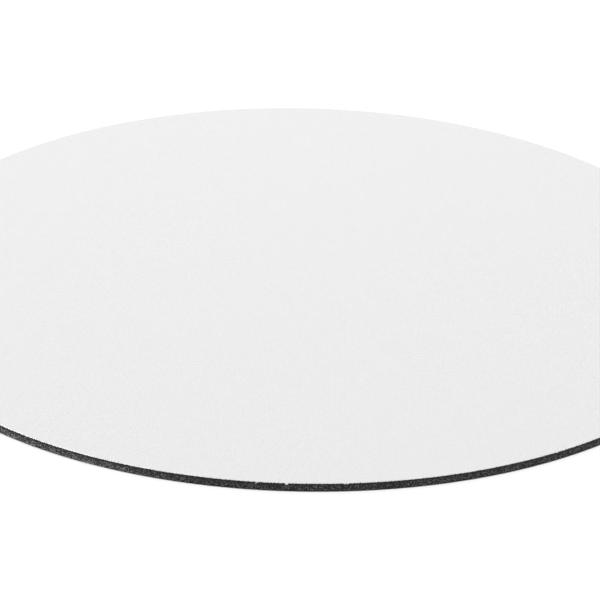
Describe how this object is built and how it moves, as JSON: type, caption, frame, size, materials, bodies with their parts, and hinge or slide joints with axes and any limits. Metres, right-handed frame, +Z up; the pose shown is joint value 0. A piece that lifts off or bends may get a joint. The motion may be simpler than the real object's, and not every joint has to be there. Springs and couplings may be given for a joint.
{
  "type": "mouse pad",
  "caption": "Flat round desk pad of thin woven cloth bonded to a foam rubber sheet, for a computer mouse to slide on.",
  "frame": {"origin": "centre of the underside, where the pad lies on the desk", "axes": "+Z up out of the cloth, -Y towards the front edge in the picture, +X to its right"},
  "size_m": [0.2, 0.2, 0.0022],
  "materials": {
    "cloth": "white plain weave, matte",
    "film": "dark hot-melt adhesive, satin",
    "foam": "black sponge rubber, matte, with small cut cells"
  },
  "bodies": {
    "root": {"cloth_top": "cloth", "bonding_film": "film", "foam_base": "foam"}
  },
  "joints": []
}
